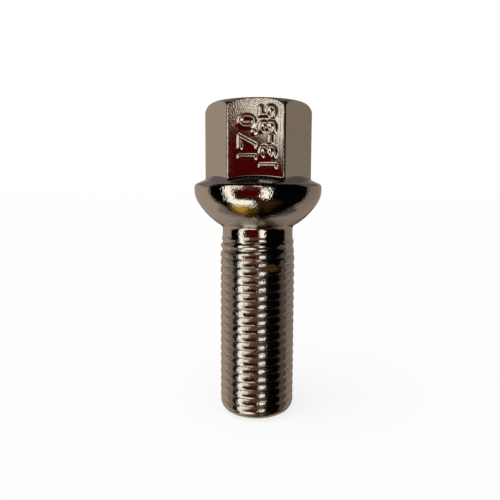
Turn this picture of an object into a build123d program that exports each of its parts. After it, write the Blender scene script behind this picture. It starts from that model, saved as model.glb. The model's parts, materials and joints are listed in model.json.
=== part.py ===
from build123d import *
import math
import os

# Wheel bolt, forged and thread-rolled from one piece of steel: hexagon head, collar with a ball seat,
# plain neck and right-hand thread. Sizes in millimetres, angles in degrees. It stands on its point:
# the origin is the middle of the point's end face, and +Z runs up the axis to the head.

# Shank, from the point upwards
shank_length = 35.4         # end face of the point to the foot of the ball seat
point_round = 2.4           # round between the end face and the thread
thread_diameter = 13.85     # outside of an M14 thread, within its tolerance
neck_diameter = 13.05       # bare blank above the thread
neck_length = 2.7
neck_chamfer = 45.0         # slope of the shoulder between neck and thread

# Ball seat and collar
seat_radius = 13.0
seat_foot_fillet = 0.8      # hollow where the ball meets the neck
seat_edge_diameter = 22.0   # the ball's upper edge, where it turns up into the rim
seat_turn_height = 2.4      # ball's upper edge to the foot of the rim
collar_diameter = 23.4
collar_rim_height = 0.95    # foot of the rim to its top corner
rim_bevel = 0.35            # along the rim's top corner
collar_slope = 24.0         # fall of the collar's top from the head to the rim

# Hexagon head
head_height = 14.5          # rim's top corner to the top of the head
across_flats = 17.0
corner_round = 0.45
crown_round = 2.0           # round that is turned on the head's top edge
crown_margin = 0.06         # play between the turned crown and the hexagon's corners
head_foot_bevel = 0.3       # along the line where the hexagon meets the collar

# Radii and heights that follow from the sizes above
thread_radius = thread_diameter / 2
neck_radius = neck_diameter / 2
collar_radius = collar_diameter / 2
seat_edge_radius = seat_edge_diameter / 2
seat_centre = shank_length + math.sqrt(seat_radius**2 - neck_radius**2)
seat_edge = seat_centre - math.sqrt(seat_radius**2 - seat_edge_radius**2)
rim_bottom = seat_edge + seat_turn_height
rim_top = rim_bottom + collar_rim_height
collar_top = rim_top + collar_radius * math.tan(math.radians(collar_slope))
head_top = rim_top + head_height
corner_reach = (across_flats - corner_round * (2 - math.sqrt(3))) / math.sqrt(3)
crown_radius = corner_reach + crown_margin
collar_ledge = collar_radius - rim_bevel - corner_reach    # collar's top past a corner of the hexagon
foot_bevel = min(head_foot_bevel, collar_ledge / 2)        # stays on that ledge
neck_foot = shank_length - neck_length
thread_top = neck_foot - (thread_radius - neck_radius) / math.tan(math.radians(neck_chamfer))


def turned_body():
    """Point, thread blank, neck, ball seat and collar, revolved from half their outline."""
    with BuildPart() as body:
        with BuildSketch(Plane.XZ) as outline:
            with BuildLine():
                point = (thread_radius, 0)
                neck = (neck_radius, shank_length)
                rim_corner = (collar_radius, rim_top)
                Polyline(
                    (0, 0),
                    point,
                    (thread_radius, thread_top),
                    (neck_radius, neck_foot),
                    neck,
                )
                ball = RadiusArc(neck, (seat_edge_radius, seat_edge), -seat_radius)
                turn = TangentArc(ball @ 1, (collar_radius, rim_bottom), tangent=ball % 1)
                Polyline(turn @ 1, rim_corner, (0, collar_top), (0, 0))
            make_face()
            fillet(outline.vertices().sort_by_distance(point)[0], point_round)
            fillet(outline.vertices().sort_by_distance(neck)[0], seat_foot_fillet)
            chamfer(outline.vertices().sort_by_distance(rim_corner)[0], rim_bevel)
        revolve(axis=Axis.Z)
    return body.part


def hexagon_head():
    """Hexagon with rounded corners, cut to the rounded crown of a turned blank."""
    with BuildPart() as head:
        with BuildSketch(Plane.XY.offset(rim_bottom)):
            hexagon = RegularPolygon(across_flats / 2, 6, major_radius=False)
            fillet(hexagon.vertices(), corner_round)
        extrude(amount=head_top - rim_bottom)
        with BuildSketch(Plane.XZ):
            with Locations((0, rim_bottom)):
                blank = Rectangle(crown_radius, head_top - rim_bottom, align=Align.MIN)
            fillet(blank.vertices().sort_by_distance((crown_radius, head_top))[0], crown_round)
        revolve(axis=Axis.Z, mode=Mode.INTERSECT)
    return head.part


def forged_bolt():
    """Head and turned body in one, with a bevel along the line where they meet."""
    body = turned_body()
    head = hexagon_head()
    joined = body + head
    return chamfer(new_edges(body, head, combined=joined), foot_bevel)


os.makedirs("parts", exist_ok=True)
export_step(forged_bolt(), "parts/wheel_bolt.step")
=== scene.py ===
"""The looks of a chrome-plated wheel bolt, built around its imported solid.

Sizes are in millimetres and angles in degrees where a name says nothing else. Blender works in metres.
"""

import json
import logging
import math
from collections.abc import Callable
from dataclasses import dataclass
from enum import Enum
from functools import partial
from typing import Any

import bmesh
import bpy
import numpy as np
from bpy.types import Material, Node, NodeOutputs, NodeSocket, NodeTree, Object, World
from mathutils import Matrix, Vector


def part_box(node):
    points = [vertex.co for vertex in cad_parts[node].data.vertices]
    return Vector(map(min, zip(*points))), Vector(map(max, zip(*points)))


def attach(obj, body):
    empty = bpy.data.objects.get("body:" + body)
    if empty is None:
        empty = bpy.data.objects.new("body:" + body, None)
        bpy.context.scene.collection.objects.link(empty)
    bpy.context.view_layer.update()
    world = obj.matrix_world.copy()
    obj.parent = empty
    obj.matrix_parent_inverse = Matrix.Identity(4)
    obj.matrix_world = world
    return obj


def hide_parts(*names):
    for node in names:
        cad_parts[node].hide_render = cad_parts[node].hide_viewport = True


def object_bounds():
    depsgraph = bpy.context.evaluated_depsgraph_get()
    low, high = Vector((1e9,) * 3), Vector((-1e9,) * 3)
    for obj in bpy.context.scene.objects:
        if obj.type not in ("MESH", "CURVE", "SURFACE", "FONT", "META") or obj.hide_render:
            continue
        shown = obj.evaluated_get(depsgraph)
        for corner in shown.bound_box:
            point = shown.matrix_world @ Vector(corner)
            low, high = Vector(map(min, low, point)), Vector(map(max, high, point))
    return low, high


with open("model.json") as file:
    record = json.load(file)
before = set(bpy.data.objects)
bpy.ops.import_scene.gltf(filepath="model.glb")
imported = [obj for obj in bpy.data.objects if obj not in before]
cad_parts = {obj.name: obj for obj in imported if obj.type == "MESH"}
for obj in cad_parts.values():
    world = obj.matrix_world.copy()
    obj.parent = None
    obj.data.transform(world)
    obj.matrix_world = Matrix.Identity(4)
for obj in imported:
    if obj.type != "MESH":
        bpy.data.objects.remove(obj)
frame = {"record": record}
CAD_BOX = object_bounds()

MM = 0.001
NODE = "wheel_bolt"
BODY = "root"

Colour = tuple[float, float, float, float]
Point = tuple[float, float]
Place = tuple[float, float, float]
Ring = tuple[np.ndarray, np.ndarray]
Source = Node | NodeSocket | float
Adder = Callable[..., Node]

FLATS = 6
HALF_FLAT = math.pi / FLATS  # half of the turn that one flat of the hexagon takes up, in radians
NO_LIGHT: Colour = (0, 0, 0, 1)
FULL_LIGHT: Colour = (1, 1, 1, 1)

log = logging.getLogger("wheel_bolt")


def to_linear(code: str) -> Colour:
    """Turns an sRGB hex colour to linear light.

    Args:
        code: six hex digits, such as "C8B9A6".

    Returns:
        Red, green, blue and an alpha of 1.
    """
    shares = [int(code[i:i + 2], 16) / 255 for i in (0, 2, 4)]
    light = [s / 12.92 if s <= 0.04045 else ((s + 0.055) / 1.055) ** 2.4 for s in shares]
    return (light[0], light[1], light[2], 1.0)


def add_node(tree: NodeTree, kind: str, inputs: dict[Any, Any] | None = None, **settings: Any) -> Node:
    """Adds a node with its settings, values and links.

    Args:
        tree: the node tree that takes the node.
        kind: Blender's name for the node's type.
        inputs: what each input takes: a value, an output of a node, or a node for its first output.
        settings: properties of the node itself.

    Returns:
        The new node.
    """
    node = tree.nodes.new(kind)
    for name, value in settings.items():
        setattr(node, name, value)
    for key, value in (inputs or {}).items():
        source = value.outputs[0] if isinstance(value, Node) else value
        if isinstance(source, NodeSocket):
            tree.links.new(source, node.inputs[key])
        else:
            node.inputs[key].default_value = source
    return node


def node_adder(owner: Material | World) -> Adder:
    """Empties the node tree of a material or a world.

    Args:
        owner: the material or the world.

    Returns:
        add_node for that tree.
    """
    owner.use_nodes = True
    owner.node_tree.nodes.clear()
    return partial(add_node, owner.node_tree)


def per_mm(size: float) -> float:
    """Texture scale, in repeats a metre, of a pattern whose grain is this many millimetres wide."""
    return 1 / (size * MM)


def arc(centre: Point, radius: float, start: float, end: float, steps: int) -> list[Point]:
    """Points along an arc of a turned outline.

    Args:
        centre: radius and height of the arc's centre.
        radius: the arc's own radius.
        start: direction from the centre to the first point, in degrees from outwards.
        end: direction to the last point.
        steps: number of pieces that the arc is cut into.

    Returns:
        Radius and height of each point, both ends included.
    """
    turns = np.radians(np.linspace(start, end, steps + 1))
    return [(centre[0] + radius * math.cos(t), centre[1] + radius * math.sin(t)) for t in turns]


def rounded_corner(before: Point, corner: Point, after: Point, reach: float, steps: int) -> list[Point]:
    """Points of a soft corner on an outline.

    Args:
        before: the outline's point before the corner.
        corner: the sharp corner.
        after: the outline's point after it.
        reach: how far from the corner the round starts and ends.
        steps: number of pieces that the round is cut into.

    Returns:
        The points of the round, both ends included.
    """
    middle = Vector(corner)
    first = middle + (Vector(before) - middle).normalized() * reach
    last = middle + (Vector(after) - middle).normalized() * reach
    points = []
    for share in np.linspace(0, 1, steps + 1):
        point = first.lerp(middle, share).lerp(middle.lerp(last, share), share)
        points.append((point.x, point.y))
    return points


def even_ring(radius: float, height: float, count: int) -> Ring:
    """A round and level ring of this many points."""
    return (np.full(count, radius), np.full(count, height))


def smooth_step(share: np.ndarray) -> np.ndarray:
    """Eases a share from 0 to 1 with level ends."""
    inside = np.clip(share, 0, 1)
    return inside * inside * (3 - 2 * inside)


def start_piece(name: str, primitive: Callable[..., Any], **sizes: Any) -> Object:
    """Starts a piece from a primitive, which is then the only thing selected.

    Args:
        name: the new object's name.
        primitive: the operator that adds it.
        sizes: what the operator takes.

    Returns:
        The new object.
    """
    bpy.ops.object.select_all(action="DESELECT")
    primitive(**sizes)
    piece = bpy.context.active_object
    piece.name = name
    return piece


def get_places(piece: Object) -> np.ndarray:
    """Reads where a piece's points lie.

    Args:
        piece: the piece, in object mode.

    Returns:
        One row of x, y and z for each point, in metres.
    """
    places = np.empty(len(piece.data.vertices) * 3)
    piece.data.vertices.foreach_get("co", places)
    return places.reshape(-1, 3)


def set_places(piece: Object, places: np.ndarray) -> None:
    """Moves a piece's points to these rows of x, y and z, in metres."""
    piece.data.vertices.foreach_set("co", places.ravel())
    piece.data.update()


class RingLoft:
    """A tube that is grown by extruding its open edge, ring by ring."""

    COLUMN = "column"

    def __init__(self, name: str, angles: np.ndarray, first: Point) -> None:
        """Starts the tube on a circle.

        Args:
            name: the new object's name.
            angles: direction of each column of points about the axis, in radians.
            first: radius and height of the first ring.
        """
        count = len(angles)
        add_circle = bpy.ops.mesh.primitive_circle_add
        self.piece = start_piece(name, add_circle, vertices=count, radius=first[0] * MM)
        self.angles = angles
        column = self.piece.data.attributes.new(self.COLUMN, "INT", "POINT")
        column.data.foreach_set("value", np.arange(count, dtype=np.int32))
        bpy.ops.object.mode_set(mode="EDIT")
        bpy.ops.mesh.select_all(action="SELECT")
        self._place(even_ring(*first, count))

    def _place(self, ring: Ring) -> None:
        """Sets the selected points to a ring.

        Args:
            ring: radius and height of each column's point.
        """
        mesh = self.piece.data
        shape = bmesh.from_edit_mesh(mesh)
        column = shape.verts.layers.int[self.COLUMN]
        radii, heights = ring
        for vertex in shape.verts:
            if vertex.select:
                index = vertex[column]
                angle = self.angles[index]
                out = radii[index] * MM
                vertex.co = (out * math.cos(angle), out * math.sin(angle), heights[index] * MM)
        bmesh.update_edit_mesh(mesh)

    def lift(self, ring: Ring) -> None:
        """Extrudes the open edge to the next ring."""
        bpy.ops.mesh.extrude_region_move(TRANSFORM_OT_translate={"value": (0, 0, 0)})
        self._place(ring)

    def turn(self, outline: list[Point]) -> None:
        """Extrudes the open edge along an outline that is the same all round."""
        for radius, height in outline:
            self.lift(even_ring(radius, height, len(self.angles)))

    def finish(self) -> Object:
        """Closes the open edge with a flat face.

        Returns:
            The piece.
        """
        bpy.ops.mesh.edge_face_add()
        bpy.ops.object.mode_set(mode="OBJECT")
        self.piece.data.attributes.remove(self.piece.data.attributes[self.COLUMN])
        return self.piece


@dataclass
class BoltHead:
    """Neck, ball seat, collar and hexagon, from the neck's foot up.

    Steps are the pieces that a round is cut into, and counts are numbers of rings.
    """

    neck_radius: float = 6.525
    neck_foot: float = 34.02
    shank_length: float = 35.4
    seat_radius: float = 13.0
    seat_foot_round: float = 0.8
    seat_edge_radius: float = 11.0
    seat_turn_height: float = 2.4
    collar_radius: float = 11.7
    rim_height: float = 0.95
    rim_round: float = 0.8
    collar_slope: float = 24.0
    flat_hollow: float = 0.22
    corner_hollow: float = 0.5
    across_flats: float = 17.0
    corner_round: float = 0.45
    crown_round: float = 2.0
    crown_margin: float = 0.06
    crease_reach: float = 0.11
    flat_columns: int = 28
    edge_margin: float = 0.4
    support: float = 0.06
    corner_steps: int = 6
    foot_steps: int = 6
    ball_steps: int = 18
    turn_steps: int = 12
    rim_steps: int = 8
    slope_shares: tuple[float, ...] = (0.1, 0.4, 0.7, 0.92)
    hollow_count: int = 7
    wall_shares: Point = (0.1, 0.95)
    wall_count: int = 10
    crease_count: int = 6
    crown_start: float = 0.08
    crown_count: int = 11

    @property
    def inner_radius(self) -> float:
        """Distance from the axis to a flat."""
        return self.across_flats / 2

    @property
    def corner_centre(self) -> float:
        """Distance from the axis to the centre of a rounded corner."""
        return (self.inner_radius - self.corner_round) / math.cos(HALF_FLAT)

    @property
    def flat_end(self) -> float:
        """Direction from a flat's middle to its end, in radians."""
        along = (self.inner_radius - self.corner_round) * math.tan(HALF_FLAT)
        return math.atan2(along, self.inner_radius)

    @property
    def seat_centre(self) -> float:
        """Height of the ball's centre."""
        return self.shank_length + math.sqrt(self.seat_radius**2 - self.neck_radius**2)

    @property
    def rim_foot(self) -> float:
        """Height of the foot of the collar's rim."""
        drop = math.sqrt(self.seat_radius**2 - self.seat_edge_radius**2)
        return self.seat_centre - drop + self.seat_turn_height

    @property
    def rim_top(self) -> float:
        """Height of the rim's top corner."""
        return self.rim_foot + self.rim_height

    @property
    def top(self) -> float:
        """Height of the head's top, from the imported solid."""
        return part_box(NODE)[1].z / MM

    def columns(self) -> np.ndarray:
        """Directions of the points about the axis, closer together at the hexagon's corners.

        Returns:
            Angles in radians, from one turn's start to its end.
        """
        edge = self.flat_end - math.radians(self.edge_margin)
        flat = np.linspace(-edge, edge, self.flat_columns)
        lean = np.linspace(-HALF_FLAT, HALF_FLAT, self.corner_steps + 1)
        across = self.corner_round * np.sin(lean)
        out = self.corner_centre + self.corner_round * np.cos(lean)
        sector = np.concatenate([flat, HALF_FLAT + np.arctan2(across, out)])
        middles = HALF_FLAT * (2 * np.arange(FLATS) + 1 - FLATS)
        return np.concatenate([sector + middle for middle in middles])

    def hexagon_radii(self, angles: np.ndarray) -> np.ndarray:
        """Measures the hexagon's wall.

        Args:
            angles: directions about the axis, in radians.

        Returns:
            Distance from the axis to the wall in each direction.
        """
        from_flat = np.mod(angles, 2 * HALF_FLAT) - HALF_FLAT
        flat = self.inner_radius / np.cos(from_flat)
        lean = np.abs(from_flat) - HALF_FLAT
        inside = np.maximum(self.corner_round**2 - (self.corner_centre * np.sin(lean)) ** 2, 0)
        corner = self.corner_centre * np.cos(lean) + np.sqrt(inside)
        return np.where(np.abs(from_flat) > self.flat_end, corner, flat)

    def seat_outline(self) -> list[Point]:
        """Draws the outline from the neck over the ball seat and its turn to the collar's rim.

        Returns:
            Radius and height of each point.
        """
        hollow_centre = self.neck_radius + self.seat_foot_round
        reach = self.seat_radius + self.seat_foot_round
        hollow_height = self.seat_centre - math.sqrt(reach**2 - hollow_centre**2)
        lean = math.degrees(math.acos(hollow_centre / reach))
        edge = math.acos(self.seat_edge_radius / self.seat_radius)
        edge_lean = math.degrees(edge)
        points = [(self.neck_radius, (self.neck_foot + hollow_height) / 2)]
        hollow = (hollow_centre, hollow_height)
        points += arc(hollow, self.seat_foot_round, 180, 180 - lean, self.foot_steps)
        points += arc((0, self.seat_centre), self.seat_radius, -lean, -edge_lean, self.ball_steps)[1:]
        wider = self.collar_radius - self.seat_edge_radius
        out, down = math.cos(edge), math.sin(edge)
        chord = wider**2 + self.seat_turn_height**2
        turn = chord / (2 * (self.seat_turn_height * down - wider * out))
        centre = (self.seat_edge_radius - turn * out, self.rim_foot - self.seat_turn_height + turn * down)
        last = math.degrees(math.atan2(self.rim_foot - centre[1], self.collar_radius - centre[0]))
        points += arc(centre, turn, -edge_lean, last, self.turn_steps)[1:]
        slope = 90 - self.collar_slope
        start = self.rim_top - self.rim_round * math.tan(math.radians(slope / 2))
        rim = (self.collar_radius - self.rim_round, start)
        return points + arc(rim, self.rim_round, 0, slope, self.rim_steps)

    def collar_rings(self, wall: np.ndarray, rim: Point) -> list[Ring]:
        """Rings from the rim up the collar's top and round the hollow at the hexagon's foot.

        Args:
            wall: distance from the axis to the hexagon in each column.
            rim: radius and height where the rim's round ends.

        Returns:
            The rings, up to the foot of the wall.
        """
        slope = math.radians(self.collar_slope)
        foot = self.rim_top + (self.collar_radius - wall) * math.tan(slope)
        corner = (wall - wall.min()) / (wall.max() - wall.min())
        hollow = self.flat_hollow + (self.corner_hollow - self.flat_hollow) * corner
        centre = foot + hollow * (1 / math.cos(slope) - math.tan(slope))
        rings = []
        start = wall + hollow * (1 - math.sin(slope))
        for share in self.slope_shares:
            radii = rim[0] + (start - rim[0]) * share
            rings.append((radii, self.rim_top + (self.collar_radius - radii) * math.tan(slope)))
        for turn in np.radians(np.linspace(-90 - self.collar_slope, -180, self.hollow_count)):
            radii = wall + hollow * (1 + math.cos(turn))
            rings.append((radii, centre + hollow * math.sin(turn)))
        return rings

    def wall_rings(self, wall: np.ndarray, foot: np.ndarray) -> list[Ring]:
        """Rings up the hexagon's wall, over its crease and the turned crown to the flat top.

        Args:
            wall: distance from the axis to the hexagon in each column.
            foot: height where the wall starts in each column.

        Returns:
            The rings, up to the edge of the flat top.
        """
        crown_centre = self.corner_centre + self.corner_round + self.crown_margin - self.crown_round
        crown_height = self.top - self.crown_round
        lean = np.arccos((wall - crown_centre) / self.crown_round)
        crease = crown_height + self.crown_round * np.sin(lean)
        end = crease - self.crease_reach
        rings = [(wall, foot + self.support)]
        for share in np.linspace(*self.wall_shares, self.wall_count):
            rings.append((wall, foot + (end - foot) * share))
        rings.append((wall, end - self.support))
        past = lean + self.crease_reach / self.crown_round
        past_radii = crown_centre + self.crown_round * np.cos(past)
        past_heights = crown_height + self.crown_round * np.sin(past)
        for share in np.linspace(0, 1, self.crease_count):
            radii = wall + (past_radii - wall) * share**2
            low = end + (crease - end) * share
            high = crease + (past_heights - crease) * share
            rings.append((radii, low + (high - low) * share))
        for share in np.linspace(self.crown_start, 1, self.crown_count):
            turn = past + (math.pi / 2 - past) * share
            radii = crown_centre + self.crown_round * np.cos(turn)
            rings.append((radii, crown_height + self.crown_round * np.sin(turn)))
        rings.append(even_ring(crown_centre - self.support, self.top, len(wall)))
        return rings

    def build(self) -> Object:
        """Lofts the head from the neck to its flat top.

        Returns:
            The head, open at the neck's foot.
        """
        angles = self.columns()
        wall = self.hexagon_radii(angles)
        loft = RingLoft("head", angles, (self.neck_radius, self.neck_foot))
        outline = self.seat_outline()
        loft.turn(outline)
        collar = self.collar_rings(wall, outline[-1])
        for ring in collar + self.wall_rings(wall, collar[-1][1]):
            loft.lift(ring)
        return loft.finish()


@dataclass
class ThreadedShank:
    """Rolled right-hand thread, its run-out below the neck and the rounded point.

    The young turns are the uppermost, which the rolling leaves shallow and round.
    """

    blank_radius: float
    pitch: float = 1.5
    depth: float = 0.34
    crest_width: float = 1.32
    crest_round: float = 1.75
    crest_drop: float = 0.2
    edge_reach: float = 0.06
    root: float = 0.06
    root_reach: float = 0.025
    crest_height: float = 1.10
    young_radius: float = 6.70
    young_swing: float = 0.13
    young_side: float = 0.07
    young_start: float = 29.9
    young_end: float = 31.8
    run_out_start: float = 32.6
    run_out_end: float = 33.8
    top_cut: float = 33.9
    point_round: float = 2.4
    point_cut: float = 0.85
    join_gap: float = 0.1
    seam_gap: float = 0.002
    cut_gap: float = 0.004
    turns: int = 24
    turns_below: int = 2
    steps: int = 116
    crest_steps: int = 6
    edge_steps: int = 4
    root_steps: int = 3
    point_steps: int = 10

    @property
    def radius(self) -> float:
        """Outside radius of the thread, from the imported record."""
        shank = next(m for m in frame["record"]["mounts"] if m["name"] == "shank")
        return shank["dims"]["r_mm"]

    def profile(self) -> list[Point]:
        """Draws one pitch of the thread from crest to crest.

        Returns:
            Radius of each point, and its height above the lower crest.
        """
        half = self.crest_width / 2
        centre = (self.radius - self.crest_round, -self.crest_drop)
        inner, middle = self.radius - self.depth, self.pitch / 2
        root = middle - self.root / 2
        sides = []
        for side in (1, -1):
            reach = half + side * self.crest_drop
            last = math.degrees(math.asin(reach / self.crest_round))
            soft = math.degrees(math.asin((reach - self.edge_reach) / self.crest_round))
            edge = arc(centre, self.crest_round, 0, side * last, 1)[-1]
            crest = arc(centre, self.crest_round, 0, side * soft, self.crest_steps)
            corner, bottom = (inner, side * root), (inner, side * middle)
            flank = rounded_corner(crest[-1], edge, corner, self.edge_reach, self.edge_steps)[1:]
            flank += rounded_corner(edge, corner, bottom, self.root_reach, self.root_steps)
            sides.append(crest + flank)
        upper, lower = sides
        return upper + [(out, self.pitch + up) for out, up in reversed(lower)]

    def point_radius(self, height: np.ndarray) -> np.ndarray:
        """Radius of the rounded point at a height above its end face."""
        below = self.point_round - np.clip(height, 0, self.point_round)
        return self.radius - self.point_round + np.sqrt(self.point_round**2 - below**2)

    def wind(self) -> Object:
        """Draws one pitch of the thread point by point, winds it up the shank and lets it run out.

        Returns:
            The thread's surface, open at both ends.
        """
        start = Vector((0, 0, self.crest_height - self.turns_below * self.pitch))
        places = [(start + Vector((out, 0, up))) * MM for out, up in self.profile()]
        piece = start_piece("thread", bpy.ops.mesh.primitive_plane_add, size=self.pitch * MM)
        bpy.ops.object.mode_set(mode="EDIT")
        bpy.ops.mesh.select_mode(type="VERT")
        bpy.ops.mesh.select_all(action="SELECT")
        bpy.ops.mesh.merge(type="CENTER")
        bpy.ops.transform.translate(value=places[0])
        for before, after in zip(places, places[1:]):
            bpy.ops.mesh.extrude_vertices_move(TRANSFORM_OT_translate={"value": after - before})
        bpy.ops.object.mode_set(mode="OBJECT")
        winding = piece.modifiers.new("winding", "SCREW")
        winding.axis = "Z"
        winding.angle = 2 * math.pi
        winding.screw_offset = self.pitch * MM
        winding.iterations = self.turns
        winding.steps = self.steps
        winding.render_steps = self.steps
        bpy.ops.object.modifier_apply(modifier=winding.name)
        self._run_out(piece)
        bpy.ops.object.mode_set(mode="EDIT")
        bpy.ops.mesh.select_all(action="SELECT")
        bpy.ops.mesh.remove_doubles(threshold=self.seam_gap * MM)
        for height, lower in ((self.point_cut, True), (self.top_cut, False)):
            bpy.ops.mesh.select_all(action="SELECT")
            bpy.ops.mesh.bisect(
                plane_co=(0, 0, height * MM),
                plane_no=(0, 0, 1),
                clear_inner=lower,
                clear_outer=not lower,
            )
        bpy.ops.mesh.select_all(action="SELECT")
        bpy.ops.mesh.remove_doubles(threshold=self.cut_gap * MM)
        bpy.ops.object.mode_set(mode="OBJECT")
        return piece

    def _run_out(self, piece: Object) -> None:
        """Softens the young turns below the neck, fades them out and keeps the last ones in the point.

        Args:
            piece: the wound thread.
        """
        places = get_places(piece)
        height = places[:, 2] / MM
        radius = np.hypot(places[:, 0], places[:, 1]) / MM
        angle = np.arctan2(places[:, 1], places[:, 0])
        wave = np.cos(angle - 2 * math.pi * (height - self.crest_height) / self.pitch)
        young = self.young_radius + (self.young_swing - self.young_side * np.cos(angle)) * wave
        share = smooth_step((height - self.young_start) / (self.young_end - self.young_start))
        shaped = radius + (young - radius) * share
        faded = smooth_step((self.run_out_end - height) / (self.run_out_end - self.run_out_start))
        shaped = self.blank_radius + (shaped - self.blank_radius) * faded
        shaped = np.minimum(shaped, self.point_radius(height))
        places[:, :2] *= (shaped / radius)[:, None]
        set_places(piece, places)

    def point(self, angles: np.ndarray) -> Object:
        """Lofts the rounded point from the last groove down to its end face.

        Args:
            angles: direction of each column of points, in radians.

        Returns:
            The point, open at its top.
        """
        high = self.point_cut - self.join_gap
        start = math.degrees(math.asin((high - self.point_round) / self.point_round))
        centre = (self.radius - self.point_round, self.point_round)
        outline = arc(centre, self.point_round, start, -90, self.point_steps)
        loft = RingLoft("point", angles, outline[0])
        loft.turn(outline[1:] + [(centre[0] - self.join_gap, 0.0)])
        return loft.finish()


@dataclass
class NumberLine:
    """One line of raised numbers on the front flat, read upwards."""

    text: str
    baseline: float
    height: float
    start: float
    length: float


@dataclass
class SizeNumbers:
    """Raised plain numbers on the head's front flat, soft as forging leaves them."""

    flat: float
    left: float = -3.62
    right: float = 3.72
    low: float = 45.25
    high: float = 56.5
    grid: float = 0.075
    relief: float = 0.13
    proud: float = 0.004
    depth: float = 0.5
    stroke_gain: float = 0.15
    flare: float = 0.3
    crown: float = 0.36
    curve_steps: int = 6
    weld_share: float = 1e-5
    smooth_angle: float = 40.0
    lines: tuple[NumberLine, ...] = (
        NumberLine("17.0", -0.14, 2.85, 47.4, 7.2),
        NumberLine("13-35", 3.3, 2.7, 45.9, 10.2),
    )

    def outlines(self, line: NumberLine) -> np.ndarray:
        """Edges of a line's figures on the flat.

        Args:
            line: the numbers, their place and their size.

        Returns:
            Start and end of each edge as x and z, in millimetres.
        """
        figures = start_piece("figures", bpy.ops.object.text_add)
        figures.data.body = line.text
        figures.data.resolution_u = self.curve_steps
        bpy.ops.object.convert(target="MESH")
        figures = bpy.context.active_object
        shape = bmesh.new()
        shape.from_mesh(figures.data)
        bmesh.ops.remove_doubles(shape, verts=shape.verts, dist=self.weld_share)
        edges = [[e.verts[0].co[:2], e.verts[1].co[:2]] for e in shape.edges if e.is_boundary]
        shape.free()
        bpy.data.objects.remove(figures)
        flat = np.array(edges)
        low, high = flat.min(axis=(0, 1)), flat.max(axis=(0, 1))
        along = (flat[..., 0] - low[0]) / (high[0] - low[0]) * line.length + line.start
        up = (flat[..., 1] - low[1]) / (high[1] - low[1]) * line.height
        return np.stack([line.baseline - up, along], axis=-1)

    def heights(self, places: np.ndarray) -> np.ndarray:
        """Height of the relief above the flat.

        Args:
            places: x and z of each point of the plate, in millimetres.

        Returns:
            Height of each point, in millimetres.
        """
        edges = np.concatenate([self.outlines(line) for line in self.lines])
        start, span = edges[:, 0], edges[:, 1] - edges[:, 0]
        length = np.maximum((span**2).sum(axis=1), np.finfo(float).tiny)
        nearest = np.full(len(places), np.inf)
        crossings = np.zeros(len(places), dtype=int)
        for base, run, square in zip(start, span, length):
            away = places - base
            share = np.clip((away @ run) / square, 0, 1)
            nearest = np.minimum(nearest, np.hypot(*(away - share[:, None] * run).T))
            above = (base[1] > places[:, 1]) != (base[1] + run[1] > places[:, 1])
            if run[1] != 0:
                meets = base[0] + (places[:, 1] - base[1]) / run[1] * run[0]
                crossings += above & (places[:, 0] < meets)
        inside = np.where(crossings % 2 == 1, nearest, -nearest) + self.stroke_gain
        return self.relief * smooth_step((inside + self.flare) / (self.flare + self.crown))

    def build(self) -> Object:
        """Raises the numbers out of a fine grid that lies on the front flat.

        Returns:
            The plate of numbers, closed behind the flat.
        """
        wide = round((self.right - self.left) / self.grid)
        tall = round((self.high - self.low) / self.grid)
        add_grid = bpy.ops.mesh.primitive_grid_add
        piece = start_piece("size_numbers", add_grid, x_subdivisions=wide, y_subdivisions=tall, size=1)
        places = get_places(piece)
        across = self.left + (places[:, 0] + 0.5) * (self.right - self.left)
        up = self.low + (places[:, 1] + 0.5) * (self.high - self.low)
        raised = self.heights(np.stack([across, up], axis=1)) + self.proud
        set_places(piece, np.stack([across, -self.flat - raised, up], axis=1) * MM)
        piece.select_set(True)
        bpy.context.view_layer.objects.active = piece
        bpy.ops.object.mode_set(mode="EDIT")
        bpy.ops.mesh.select_mode(type="EDGE")
        bpy.ops.mesh.select_all(action="DESELECT")
        bpy.ops.mesh.select_non_manifold(extend=False, use_boundary=True, use_wire=False)
        bpy.ops.mesh.extrude_region_move(TRANSFORM_OT_translate={"value": (0, self.depth * MM, 0)})
        bpy.ops.mesh.edge_face_add()
        bpy.ops.mesh.select_all(action="SELECT")
        bpy.ops.mesh.normals_make_consistent(inside=False)
        bpy.ops.object.mode_set(mode="OBJECT")
        bpy.ops.object.shade_smooth_by_angle(angle=math.radians(self.smooth_angle))
        return piece


@dataclass(frozen=True)
class Zone:
    """A soft limit along one axis: nothing shows before the start and all of it past the end, in mm."""

    axis: str
    start: float
    end: float


FRONT_FLAT = (Zone("Y", -8.25, -8.35), Zone("Z", 44.6, 44.9))


@dataclass(frozen=True)
class Roughening:
    """Unevenness of the plating: its grain along each axis, its height, and the zones that it keeps to."""

    grain: Place
    height: float
    zones: tuple[Zone, ...]


@dataclass(frozen=True)
class Dulling:
    """A duller place of the plating: the roughness that it adds, and the zones that it keeps to."""

    amount: float
    zones: tuple[Zone, ...]


@dataclass(frozen=True)
class StainPatch:
    """A spot of brown stain: its middle and half sizes in millimetres, and how much it covers."""

    middle: Place
    reach: Place
    cover: float


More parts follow.
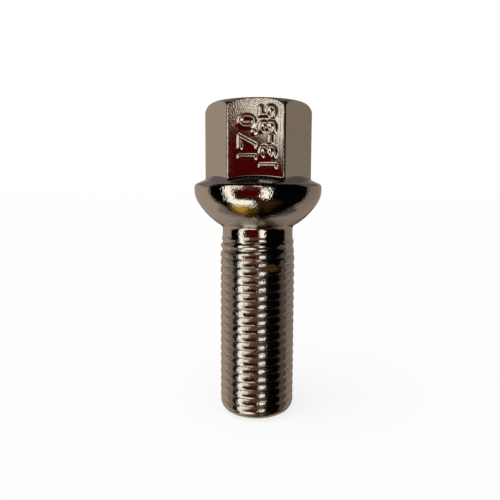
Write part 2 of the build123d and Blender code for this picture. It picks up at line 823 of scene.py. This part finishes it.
@dataclass(frozen=True)
class ChromePlate:
    """Bright chrome plating over forged steel.

    It mirrors its surroundings a little dimmed and warm, with faint clouds in its colour. The forging's
    grain shows through, so that the edges of reflections break up, and the thread, the ball's foot and the
    collar's front are a little duller. The head's front flat is pitted at its top and left and drawn out
    in fine upright lines at its right. The thread keeps a few brown stains, and the head a few specks.
    """

    colour: str = "D0CDC9"
    cloud_colour: str = "C4C0BA"
    cloud: float = 1.4
    cloud_detail: float = 4.0
    cloud_contrast: float = 0.7
    roughness: float = 0.055
    dulling: tuple[Dulling, ...] = (
        Dulling(0.25, (Zone("Z", 35.7, 36.1), Zone("Z", 37.5, 36.9))),
        Dulling(0.075, (Zone("Z", 32.6, 31.6),)),
        Dulling(0.15, (Zone("Y", -8.5, -8.8), Zone("Z", 43.1, 43.4))),
    )
    roughening: tuple[Roughening, ...] = (
        Roughening((0.27, 0.27, 0.27), 0.022, (Zone("Z", 44.4, 43.4),)),
        Roughening((2.0, 2.0, 0.2), 0.03, (Zone("Z", 33.8, 33.2),)),
        Roughening((1.6, 1.6, 1.6), 0.014, FRONT_FLAT),
        Roughening((0.2, 0.2, 0.2), 0.006, FRONT_FLAT),
        Roughening((0.18, 0.18, 0.18), 0.020, FRONT_FLAT + (Zone("X", -2.0, -4.4),)),
        Roughening((0.18, 0.18, 0.18), 0.014, FRONT_FLAT + (Zone("Z", 52.6, 55.4),)),
        Roughening((0.2, 5.0, 5.0), 0.016, FRONT_FLAT + (Zone("X", 1.6, 3.6),)),
    )
    stain: str = "54380F"
    stain_roughness: float = 0.4
    stain_break: float = 0.5
    stain_detail: float = 3.0
    stain_edge: Point = (1.5, 0.95)
    stains: tuple[StainPatch, ...] = (
        StainPatch((2.5, -6.5, 28.4), (2.7, 2.6, 0.85), 0.75),
        StainPatch((-4.3, -5.2, 31.0), (1.0, 2.0, 0.9), 0.55),
        StainPatch((4.6, -5.0, 26.7), (0.9, 1.6, 0.7), 0.5),
        StainPatch((-6.4, -6.0, 46.9), (0.24, 0.24, 0.3), 0.4),
        StainPatch((-8.3, -2.7, 45.2), (0.2, 0.2, 0.24), 0.35),
        StainPatch((6.2, -6.4, 52.0), (0.24, 0.24, 0.28), 0.4),
    )

    def material(self) -> Material:
        """Mixes the plating's nodes.

        Returns:
            The material.
        """
        made = bpy.data.materials.new("chrome_plated_steel")
        add = node_adder(made)
        place = add("ShaderNodeTexCoord").outputs["Object"]
        along = add("ShaderNodeSeparateXYZ", {"Vector": place}).outputs
        bump = add("ShaderNodeBump", {"Distance": MM, "Height": self._relief(add, place, along)})
        roughness: Source = self.roughness
        for dull in self.dulling:
            added = {0: self._inside(add, along, dull.zones), 1: dull.amount, 2: roughness}
            roughness = add("ShaderNodeMath", added, operation="MULTIPLY_ADD")
        cloudy = {
            "Vector": place,
            "Scale": per_mm(self.cloud),
            "Detail": self.cloud_detail,
            "Roughness": self.cloud_contrast,
        }
        clouds = add("ShaderNodeTexNoise", cloudy)
        tint = {"Fac": clouds, "Color1": to_linear(self.colour), "Color2": to_linear(self.cloud_colour)}
        colour = add("ShaderNodeMixRGB", tint)
        chrome = {"Base Color": colour, "Metallic": 1.0, "Roughness": roughness, "Normal": bump}
        plate = add("ShaderNodeBsdfPrincipled", chrome)
        brown = {"Base Color": to_linear(self.stain), "Roughness": self.stain_roughness, "Normal": bump}
        stain = add("ShaderNodeBsdfPrincipled", brown)
        mixed = add("ShaderNodeMixShader", {"Fac": self._stained(add, place), 1: plate, 2: stain})
        add("ShaderNodeOutputMaterial", {"Surface": mixed})
        return made

    def _relief(self, add: Adder, place: NodeSocket, along: NodeOutputs) -> Source:
        """Adds up the plating's unevenness.

        Args:
            add: adds a node to the material.
            place: position on the object, in metres.
            along: the same, along each axis.

        Returns:
            The height in millimetres.
        """
        total: Source = 0.0
        for rough in self.roughening:
            scale = tuple(per_mm(size) for size in rough.grain)
            spread = add("ShaderNodeMapping", {"Vector": place, "Scale": scale})
            noise = add("ShaderNodeTexNoise", {"Vector": spread, "Scale": 1.0, "Detail": 0.0})
            height = add("ShaderNodeMath", {0: noise, 1: rough.height}, operation="MULTIPLY")
            added = {0: height, 1: self._inside(add, along, rough.zones), 2: total}
            total = add("ShaderNodeMath", added, operation="MULTIPLY_ADD")
        return total

    def _inside(self, add: Adder, along: NodeOutputs, zones: tuple[Zone, ...]) -> Source:
        """Marks where all of the zones hold.

        Args:
            add: adds a node to the material.
            along: position along each axis, in metres.
            zones: the limits.

        Returns:
            1 inside all of them, and 0 outside any.
        """
        inside: Source = 1.0
        for zone in zones:
            limits = {"Value": along[zone.axis], "From Min": zone.start * MM, "From Max": zone.end * MM}
            past = add("ShaderNodeMapRange", limits, interpolation_type="SMOOTHSTEP")
            inside = add("ShaderNodeMath", {0: inside, 1: past}, operation="MULTIPLY")
        return inside

    def _stained(self, add: Adder, place: NodeSocket) -> Source:
        """Marks the stains, with soft uneven edges.

        Args:
            add: adds a node to the material.
            place: position on the object, in metres.

        Returns:
            The share of the surface that the stain covers.
        """
        uneven = {"Vector": place, "Scale": per_mm(self.stain_break), "Detail": self.stain_detail}
        spots = add("ShaderNodeTexNoise", uneven)
        bare, full = self.stain_edge
        total: Source = 0.0
        for patch in self.stains:
            scale = tuple(per_mm(reach) for reach in patch.reach)
            shift = tuple(-middle / reach for middle, reach in zip(patch.middle, patch.reach))
            near = add("ShaderNodeMapping", {"Vector": place, "Location": shift, "Scale": scale})
            away = add("ShaderNodeVectorMath", {0: near}, operation="LENGTH").outputs["Value"]
            broken = add("ShaderNodeMath", {0: spots, 1: away})
            fade = {"Value": broken, "From Min": bare, "From Max": full, "To Max": patch.cover}
            cover = add("ShaderNodeMapRange", fade, interpolation_type="SMOOTHSTEP")
            total = add("ShaderNodeMath", {0: total, 1: cover}, operation="MAXIMUM")
        return total


@dataclass
class WheelBolt:
    """The whole bolt: head, threaded shank and raised numbers in one plated piece of steel."""

    head: BoltHead
    shank: ThreadedShank
    numbers: SizeNumbers
    finish: ChromePlate

    def build(self) -> list[Object]:
        """Joins the head, thread and point to one closed mesh and adds the numbers.

        Returns:
            The bolt and its numbers.
        """
        head = self.head.build()
        thread = self.shank.wind()
        point = self.shank.point(self.head.columns())
        bpy.ops.object.select_all(action="DESELECT")
        for piece in (head, thread, point):
            piece.select_set(True)
        bpy.context.view_layer.objects.active = head
        bpy.ops.object.join()
        head.name = "bolt"
        bpy.ops.object.mode_set(mode="EDIT")
        for height in (self.shank.top_cut, self.shank.point_cut):
            self._bridge(head, height)
        bpy.ops.mesh.select_all(action="SELECT")
        bpy.ops.mesh.normals_make_consistent(inside=False)
        bpy.ops.object.mode_set(mode="OBJECT")
        bpy.ops.object.shade_smooth()
        return [head, self.numbers.build()]

    def _bridge(self, piece: Object, height: float) -> None:
        """Bridges the two open edges that face each other.

        Args:
            piece: the joined pieces, in edit mode.
            height: where the edges lie.
        """
        bpy.ops.mesh.select_mode(type="EDGE")
        bpy.ops.mesh.select_all(action="DESELECT")
        shape = bmesh.from_edit_mesh(piece.data)
        for edge in shape.edges:
            middle = (edge.verts[0].co.z + edge.verts[1].co.z) / 2 / MM
            if edge.is_boundary and abs(middle - height) < 2 * self.shank.join_gap:
                edge.select = True
        bmesh.update_edit_mesh(piece.data)
        bpy.ops.mesh.bridge_edge_loops()

    def dress(self, pieces: list[Object]) -> None:
        """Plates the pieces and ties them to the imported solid.

        Args:
            pieces: the bolt and its numbers.
        """
        plating = self.finish.material()
        for piece in pieces:
            piece.data.materials.clear()
            piece.data.materials.append(plating)
            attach(piece, BODY)
        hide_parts(NODE)


class Paint(Enum):
    """Colours of the things that the plating mirrors, with their brightness."""

    BLACK = ("0A0706", 0.6)
    WHITE = ("FFF9EC", 1.6)
    CREAM = ("F6EEDF", 1.3)
    DEEP_RED = ("4E0706", 1.0)
    BROWN = ("3A2410", 1.0)
    DARK_BROWN = ("1C0F08", 1.0)
    GOLD = ("DDAA48", 1.0)
    OCHRE = ("5C3C0C", 1.0)
    WARM_GREY = ("B8A797", 1.0)
    COOL_GREY = ("827978", 1.0)
    SOOT = ("2A2222", 1.0)
    RED_BROWN = ("6B4A3A", 1.0)
    STONE = ("685D54", 1.0)
    CLAY = ("8A7E75", 1.0)
    UMBER = ("5A504A", 1.0)

    def light(self) -> Colour:
        """Linear colour times brightness.

        Returns:
            Red, green, blue and an alpha of 1.
        """
        code, strength = self.value
        red, green, blue, _ = to_linear(code)
        return (red * strength, green * strength, blue * strength, 1.0)


@dataclass(frozen=True)
class SoftPanel:
    """A soft-edged patch of the studio's dome, as seen from the bolt.

    Its turn runs from the camera's side towards the right and its rise up from level, in degrees. With a
    lean its upper and lower edges rise by that much for each degree of turn.
    """

    paint: Paint
    turn: Point
    rise: Point
    soft: Point
    lean: float = 0.0


@dataclass(frozen=True)
class Card:
    """A small upright card near the bolt, turned from facing the camera by an angle.

    It runs from its first paint to its second where x and z together grow from the blend's start to its
    end. A plain card has the same paint twice.
    """

    name: str
    middle: Place
    width: float
    height: float
    turn: float
    paints: tuple[Paint, Paint]
    blend: Point = (0.0, 1.0)


@dataclass
class Surroundings:
    """What only the plating sees: a dome with soft panels, and cards close to the bolt."""

    radius: float = 3000.0
    segments: int = 96
    rings: int = 48
    warm_rise: float = 12.0
    cool_rise: float = 19.0
    dim_side: float = 0.6
    side_reach: float = 0.9
    front_turn: float = 4.0
    front_soft: float = 4.0
    front_reach: float = 98.0
    panels: tuple[SoftPanel, ...] = (
        SoftPanel(Paint.BLACK, (-125, 125), (42, 100), (8, 8)),
        SoftPanel(Paint.DARK_BROWN, (-115, 25), (-95, -68), (10, 5)),
        SoftPanel(Paint.BROWN, (-9, 58), (-68, -37), (8, 5), -0.15),
        SoftPanel(Paint.OCHRE, (-100, 2), (-82, -66), (8, 4)),
        SoftPanel(Paint.GOLD, (-82, -40), (-72, -57), (10, 6)),
        SoftPanel(Paint.WHITE, (-65, -9), (-71, -47), (6, 5), -0.2),
        SoftPanel(Paint.WHITE, (-59, -43), (-42, 38), (3, 5)),
        SoftPanel(Paint.CREAM, (-44, -22), (1, 36), (8, 3)),
        SoftPanel(Paint.RED_BROWN, (-26, 10), (1, 36), (5, 3)),
        SoftPanel(Paint.STONE, (11, 26), (2, 34), (3, 4)),
        SoftPanel(Paint.SOOT, (-43, -35), (-34, 0), (2, 2)),
        SoftPanel(Paint.BROWN, (-34, 6), (-40, -20), (2, 4)),
        SoftPanel(Paint.DEEP_RED, (-34, 6), (-27, 1), (2, 5)),
        SoftPanel(Paint.WHITE, (9, 25), (-37, 2), (3, 2)),
        SoftPanel(Paint.COOL_GREY, (-113, -97), (3, 40), (3, 3)),
        SoftPanel(Paint.COOL_GREY, (101, 113), (3, 40), (3, 3)),
        SoftPanel(Paint.SOOT, (-172, -161), (-40, -9), (2, 3)),
        SoftPanel(Paint.SOOT, (161, 172), (-40, -9), (2, 3)),
        SoftPanel(Paint.WHITE, (-190, -172), (-40, -9), (2, 3)),
        SoftPanel(Paint.WHITE, (172, 190), (-40, -9), (2, 3)),
    )
    cards: tuple[Card, ...] = (
        Card("front_card", (-1.5, -38.5, 54), 15, 18, 0, (Paint.DEEP_RED, Paint.CREAM), (51.0, 59.5)),
        Card("left_card", (-13, -5.25, 13), 3.7, 38, 90, (Paint.CLAY, Paint.CLAY)),
        Card("right_card", (13, -5.25, 13), 3.7, 38, 90, (Paint.UMBER, Paint.UMBER)),
    )

    def build(self) -> None:
        """Builds the dome and the cards, for reflections alone."""
        dome = start_piece(
            "dome",
            bpy.ops.mesh.primitive_uv_sphere_add,
            segments=self.segments,
            ring_count=self.rings,
            radius=self.radius * MM,
            location=sum(CAD_BOX, Vector()) / 2,
        )
        bpy.ops.object.shade_smooth()
        self._for_reflections(dome, self._dome_paint())
        for card in self.cards:
            self._for_reflections(self._stand(card), self._card_paint(card))

    def _stand(self, card: Card) -> Object:
        """Stands a card up at its place.

        Args:
            card: the card.

        Returns:
            Its object.
        """
        upright = (math.radians(90), 0, math.radians(card.turn))
        piece = start_piece(card.name, bpy.ops.mesh.primitive_plane_add, size=MM, rotation=upright)
        piece.scale = (card.width, card.height, 1)
        piece.location = Vector(card.middle) * MM
        bpy.ops.object.transform_apply(location=True, rotation=True, scale=True)
        return piece

    def _glow(self, add: Adder, colour: Node) -> None:
        """Lets a paint glow by itself in the mixed colour."""
        glow = add("ShaderNodeEmission", {"Color": colour})
        add("ShaderNodeOutputMaterial", {"Surface": glow})

    def _card_paint(self, card: Card) -> Material:
        """Runs a card from its first paint at the lower left to its second at the upper right.

        Args:
            card: the card.

        Returns:
            The material.
        """
        made = bpy.data.materials.new(card.name)
        add = node_adder(made)
        place = add("ShaderNodeTexCoord").outputs["Object"]
        along = add("ShaderNodeSeparateXYZ", {"Vector": place}).outputs
        across = add("ShaderNodeMath", {0: along["X"], 1: along["Z"]})
        limits = {"Value": across, "From Min": card.blend[0] * MM, "From Max": card.blend[1] * MM}
        share = add("ShaderNodeMapRange", limits, interpolation_type="SMOOTHSTEP")
        first, second = card.paints
        mix = {"Fac": share, "Color1": first.light(), "Color2": second.light()}
        self._glow(add, add("ShaderNodeMixRGB", mix))
        return made

    def _dome_paint(self) -> Material:
        """Paints the dome: grey behind the bolt, black before it, and the panels, each on top of the last.

        Returns:
            The material.
        """
        made = bpy.data.materials.new("dome_panels")
        add = node_adder(made)
        radius = self.radius * MM
        place = add("ShaderNodeTexCoord").outputs["Object"]
        along = add("ShaderNodeSeparateXYZ", {"Vector": place}).outputs
        forward = add("ShaderNodeMath", {0: along["Y"], 1: -1.0}, operation="MULTIPLY")
        level = add("ShaderNodeMath", {0: along["X"], 1: forward}, operation="ARCTAN2")
        height = add("ShaderNodeMath", {0: along["Z"], 1: radius}, operation="DIVIDE")
        upward = add("ShaderNodeMath", {0: height}, operation="ARCSINE")
        turned = math.radians(self.front_turn)
        ahead = (math.sin(turned) / radius, -math.cos(turned) / radius, 0)
        facing = add("ShaderNodeVectorMath", {0: place, 1: ahead}, operation="DOT_PRODUCT")
        away = add("ShaderNodeMath", {0: facing.outputs["Value"]}, operation="ARCCOSINE")
        turn, rise, off_front = (
            add("ShaderNodeMath", {0: angle}, operation="DEGREES") for angle in (level, upward, away)
        )
        heights = {"Value": rise, "From Min": self.warm_rise, "From Max": self.cool_rise}
        cool = add("ShaderNodeMapRange", heights)
        reach = self.side_reach * radius
        sides = {"Value": along["X"], "From Min": -reach, "From Max": reach, "To Max": 1 - self.dim_side}
        dim = add("ShaderNodeMapRange", sides)
        outer, inner = self.front_reach + self.front_soft, self.front_reach - self.front_soft
        half = {"Value": off_front, "From Min": outer, "From Max": inner}
        front = add("ShaderNodeMapRange", half, interpolation_type="SMOOTHSTEP")
        layers = [(cool, Paint.COOL_GREY.light()), (dim, NO_LIGHT), (front, Paint.BLACK.light())]
        for panel in self.panels:
            layers.append((self._panel_share(add, panel, turn, rise), panel.paint.light()))
        colour: Any = Paint.WARM_GREY.light()
        for share, light in layers:
            colour = add("ShaderNodeMixRGB", {"Fac": share, "Color1": colour, "Color2": light})
        self._glow(add, colour)
        return made

    def _panel_share(self, add: Adder, panel: SoftPanel, turn: Node, rise: Node) -> Source:
        """Marks a panel on the dome.

        Args:
            add: adds a node to the dome's paint.
            panel: the panel.
            turn: turn of the place on the dome, in degrees.
            rise: its rise.

        Returns:
            1 on the panel and 0 off it, with soft edges.
        """
        level = add("ShaderNodeMath", {0: turn, 1: -panel.lean, 2: rise}, operation="MULTIPLY_ADD")
        share: Source = 1.0
        for value, edges, soft in ((turn, panel.turn, panel.soft[0]), (level, panel.rise, panel.soft[1])):
            for edge, fade in zip(edges, (soft, -soft)):
                limits = {"Value": value, "From Min": edge - fade, "From Max": edge + fade}
                inside = add("ShaderNodeMapRange", limits, interpolation_type="SMOOTHSTEP")
                share = add("ShaderNodeMath", {0: share, 1: inside}, operation="MULTIPLY")
        return share

    def _for_reflections(self, thing: Object, paint: Material) -> None:
        """Paints a thing and shows it to reflections alone.

        Args:
            thing: the dome or a card.
            paint: its material.
        """
        thing.data.materials.clear()
        thing.data.materials.append(paint)
        for ray in ("camera", "diffuse", "transmission", "volume_scatter", "shadow"):
            setattr(thing, "visible_" + ray, False)


@dataclass
class Studio:
    """Pale floor, white backdrop and soft light."""

    floor_colour: str = "F4F4F2"
    floor_size: float = 6000.0
    floor_glow: float = 0.8
    lamp_strength: float = 2.4
    lamp_spread: float = 60.0
    lamp_tilt: Point = (18.0, -12.0)
    fill: float = 0.35

    def build(self) -> None:
        """Builds the set."""
        self._floor()
        self._lamp()
        self._world()

    def _floor(self) -> None:
        """Lays the pale floor under the bolt: part of its white is its own, and the rest takes shadow."""
        floor = start_piece("floor", bpy.ops.mesh.primitive_plane_add, size=self.floor_size * MM)
        made = bpy.data.materials.new("pale_matt_paint")
        add = node_adder(made)
        matt = add("ShaderNodeBsdfDiffuse", {"Color": to_linear(self.floor_colour)})
        white = add("ShaderNodeEmission", {"Color": FULL_LIGHT, "Strength": 1.0})
        seen = add("ShaderNodeLightPath").outputs["Is Camera Ray"]
        share = add("ShaderNodeMath", {0: seen, 1: self.floor_glow}, operation="MULTIPLY")
        mixed = add("ShaderNodeMixShader", {"Fac": share, 1: matt, 2: white})
        add("ShaderNodeOutputMaterial", {"Surface": mixed})
        floor.data.materials.append(made)
        floor.visible_glossy = False

    def _lamp(self) -> None:
        """Hangs one broad soft lamp overhead."""
        lamp = bpy.data.lights.new("overhead_lamp", "SUN")
        lamp.energy = self.lamp_strength
        lamp.angle = math.radians(self.lamp_spread)
        holder = bpy.data.objects.new("overhead_lamp", lamp)
        holder.rotation_euler = (math.radians(self.lamp_tilt[0]), math.radians(self.lamp_tilt[1]), 0)
        holder.visible_glossy = False
        bpy.context.scene.collection.objects.link(holder)

    def _world(self) -> None:
        """Makes the backdrop white to the camera and in reflections, and a soft fill elsewhere."""
        world = bpy.data.worlds.new("white_backdrop")
        bpy.context.scene.world = world
        add = node_adder(world)
        path = add("ShaderNodeLightPath").outputs
        seen: Source = path["Is Camera Ray"]
        for ray in ("Is Glossy Ray", "Is Transmission Ray"):
            seen = add("ShaderNodeMath", {0: seen, 1: path[ray]}, operation="MAXIMUM")
        strength = add("ShaderNodeMapRange", {"Value": seen, "To Min": self.fill, "To Max": 1.0})
        white = add("ShaderNodeBackground", {"Color": FULL_LIGHT, "Strength": strength})
        add("ShaderNodeOutputWorld", {"Surface": white})


@dataclass
class PhotoCamera:
    """Camera at the photograph's place, with the axis a little right of the middle."""

    lens: float = 38.0
    sensor: float = 36.0
    clip: Point = (5.0, 20000.0)
    distance: float = 98.54
    height: float = 42.55
    azimuth: float = 2.4
    down: float = 6.76
    aside: float = 0.825
    roll: float = 0.22

    def build(self) -> None:
        """Sets the camera up and makes it the scene's own."""
        lens = bpy.data.cameras.new("photo_camera")
        lens.lens = self.lens
        lens.sensor_width = self.sensor
        lens.clip_start, lens.clip_end = self.clip[0] * MM, self.clip[1] * MM
        camera = bpy.data.objects.new("photo_camera", lens)
        bpy.context.scene.collection.objects.link(camera)
        turn = math.radians(self.azimuth)
        camera.location = (
            self.distance * MM * math.sin(turn),
            -self.distance * MM * math.cos(turn),
            self.height * MM,
        )
        heading = Matrix.Rotation(math.radians(self.azimuth + self.aside), 3, "Z")
        tilt = Matrix.Rotation(math.radians(90 - self.down), 3, "X")
        roll = Matrix.Rotation(math.radians(self.roll), 3, "Z")
        camera.rotation_euler = (heading @ tilt @ roll).to_euler()
        bpy.context.scene.camera = camera


def main() -> None:
    """Builds the bolt, dresses it and sets up the studio and the camera."""
    logging.basicConfig(level=logging.INFO, format="%(name)s: %(message)s")
    head = BoltHead()
    shank = ThreadedShank(head.neck_radius)
    numbers = SizeNumbers(head.inner_radius)
    bolt = WheelBolt(head, shank, numbers, ChromePlate())
    pieces = bolt.build()
    bolt.dress(pieces)
    for piece in pieces:
        piece.data.calc_loop_triangles()
        log.info("%s has %d triangles", piece.name, len(piece.data.loop_triangles))
    Surroundings().build()
    Studio().build()
    PhotoCamera().build()
    bpy.context.scene.view_settings.view_transform = "Standard"


if __name__ == "__main__":
    main()
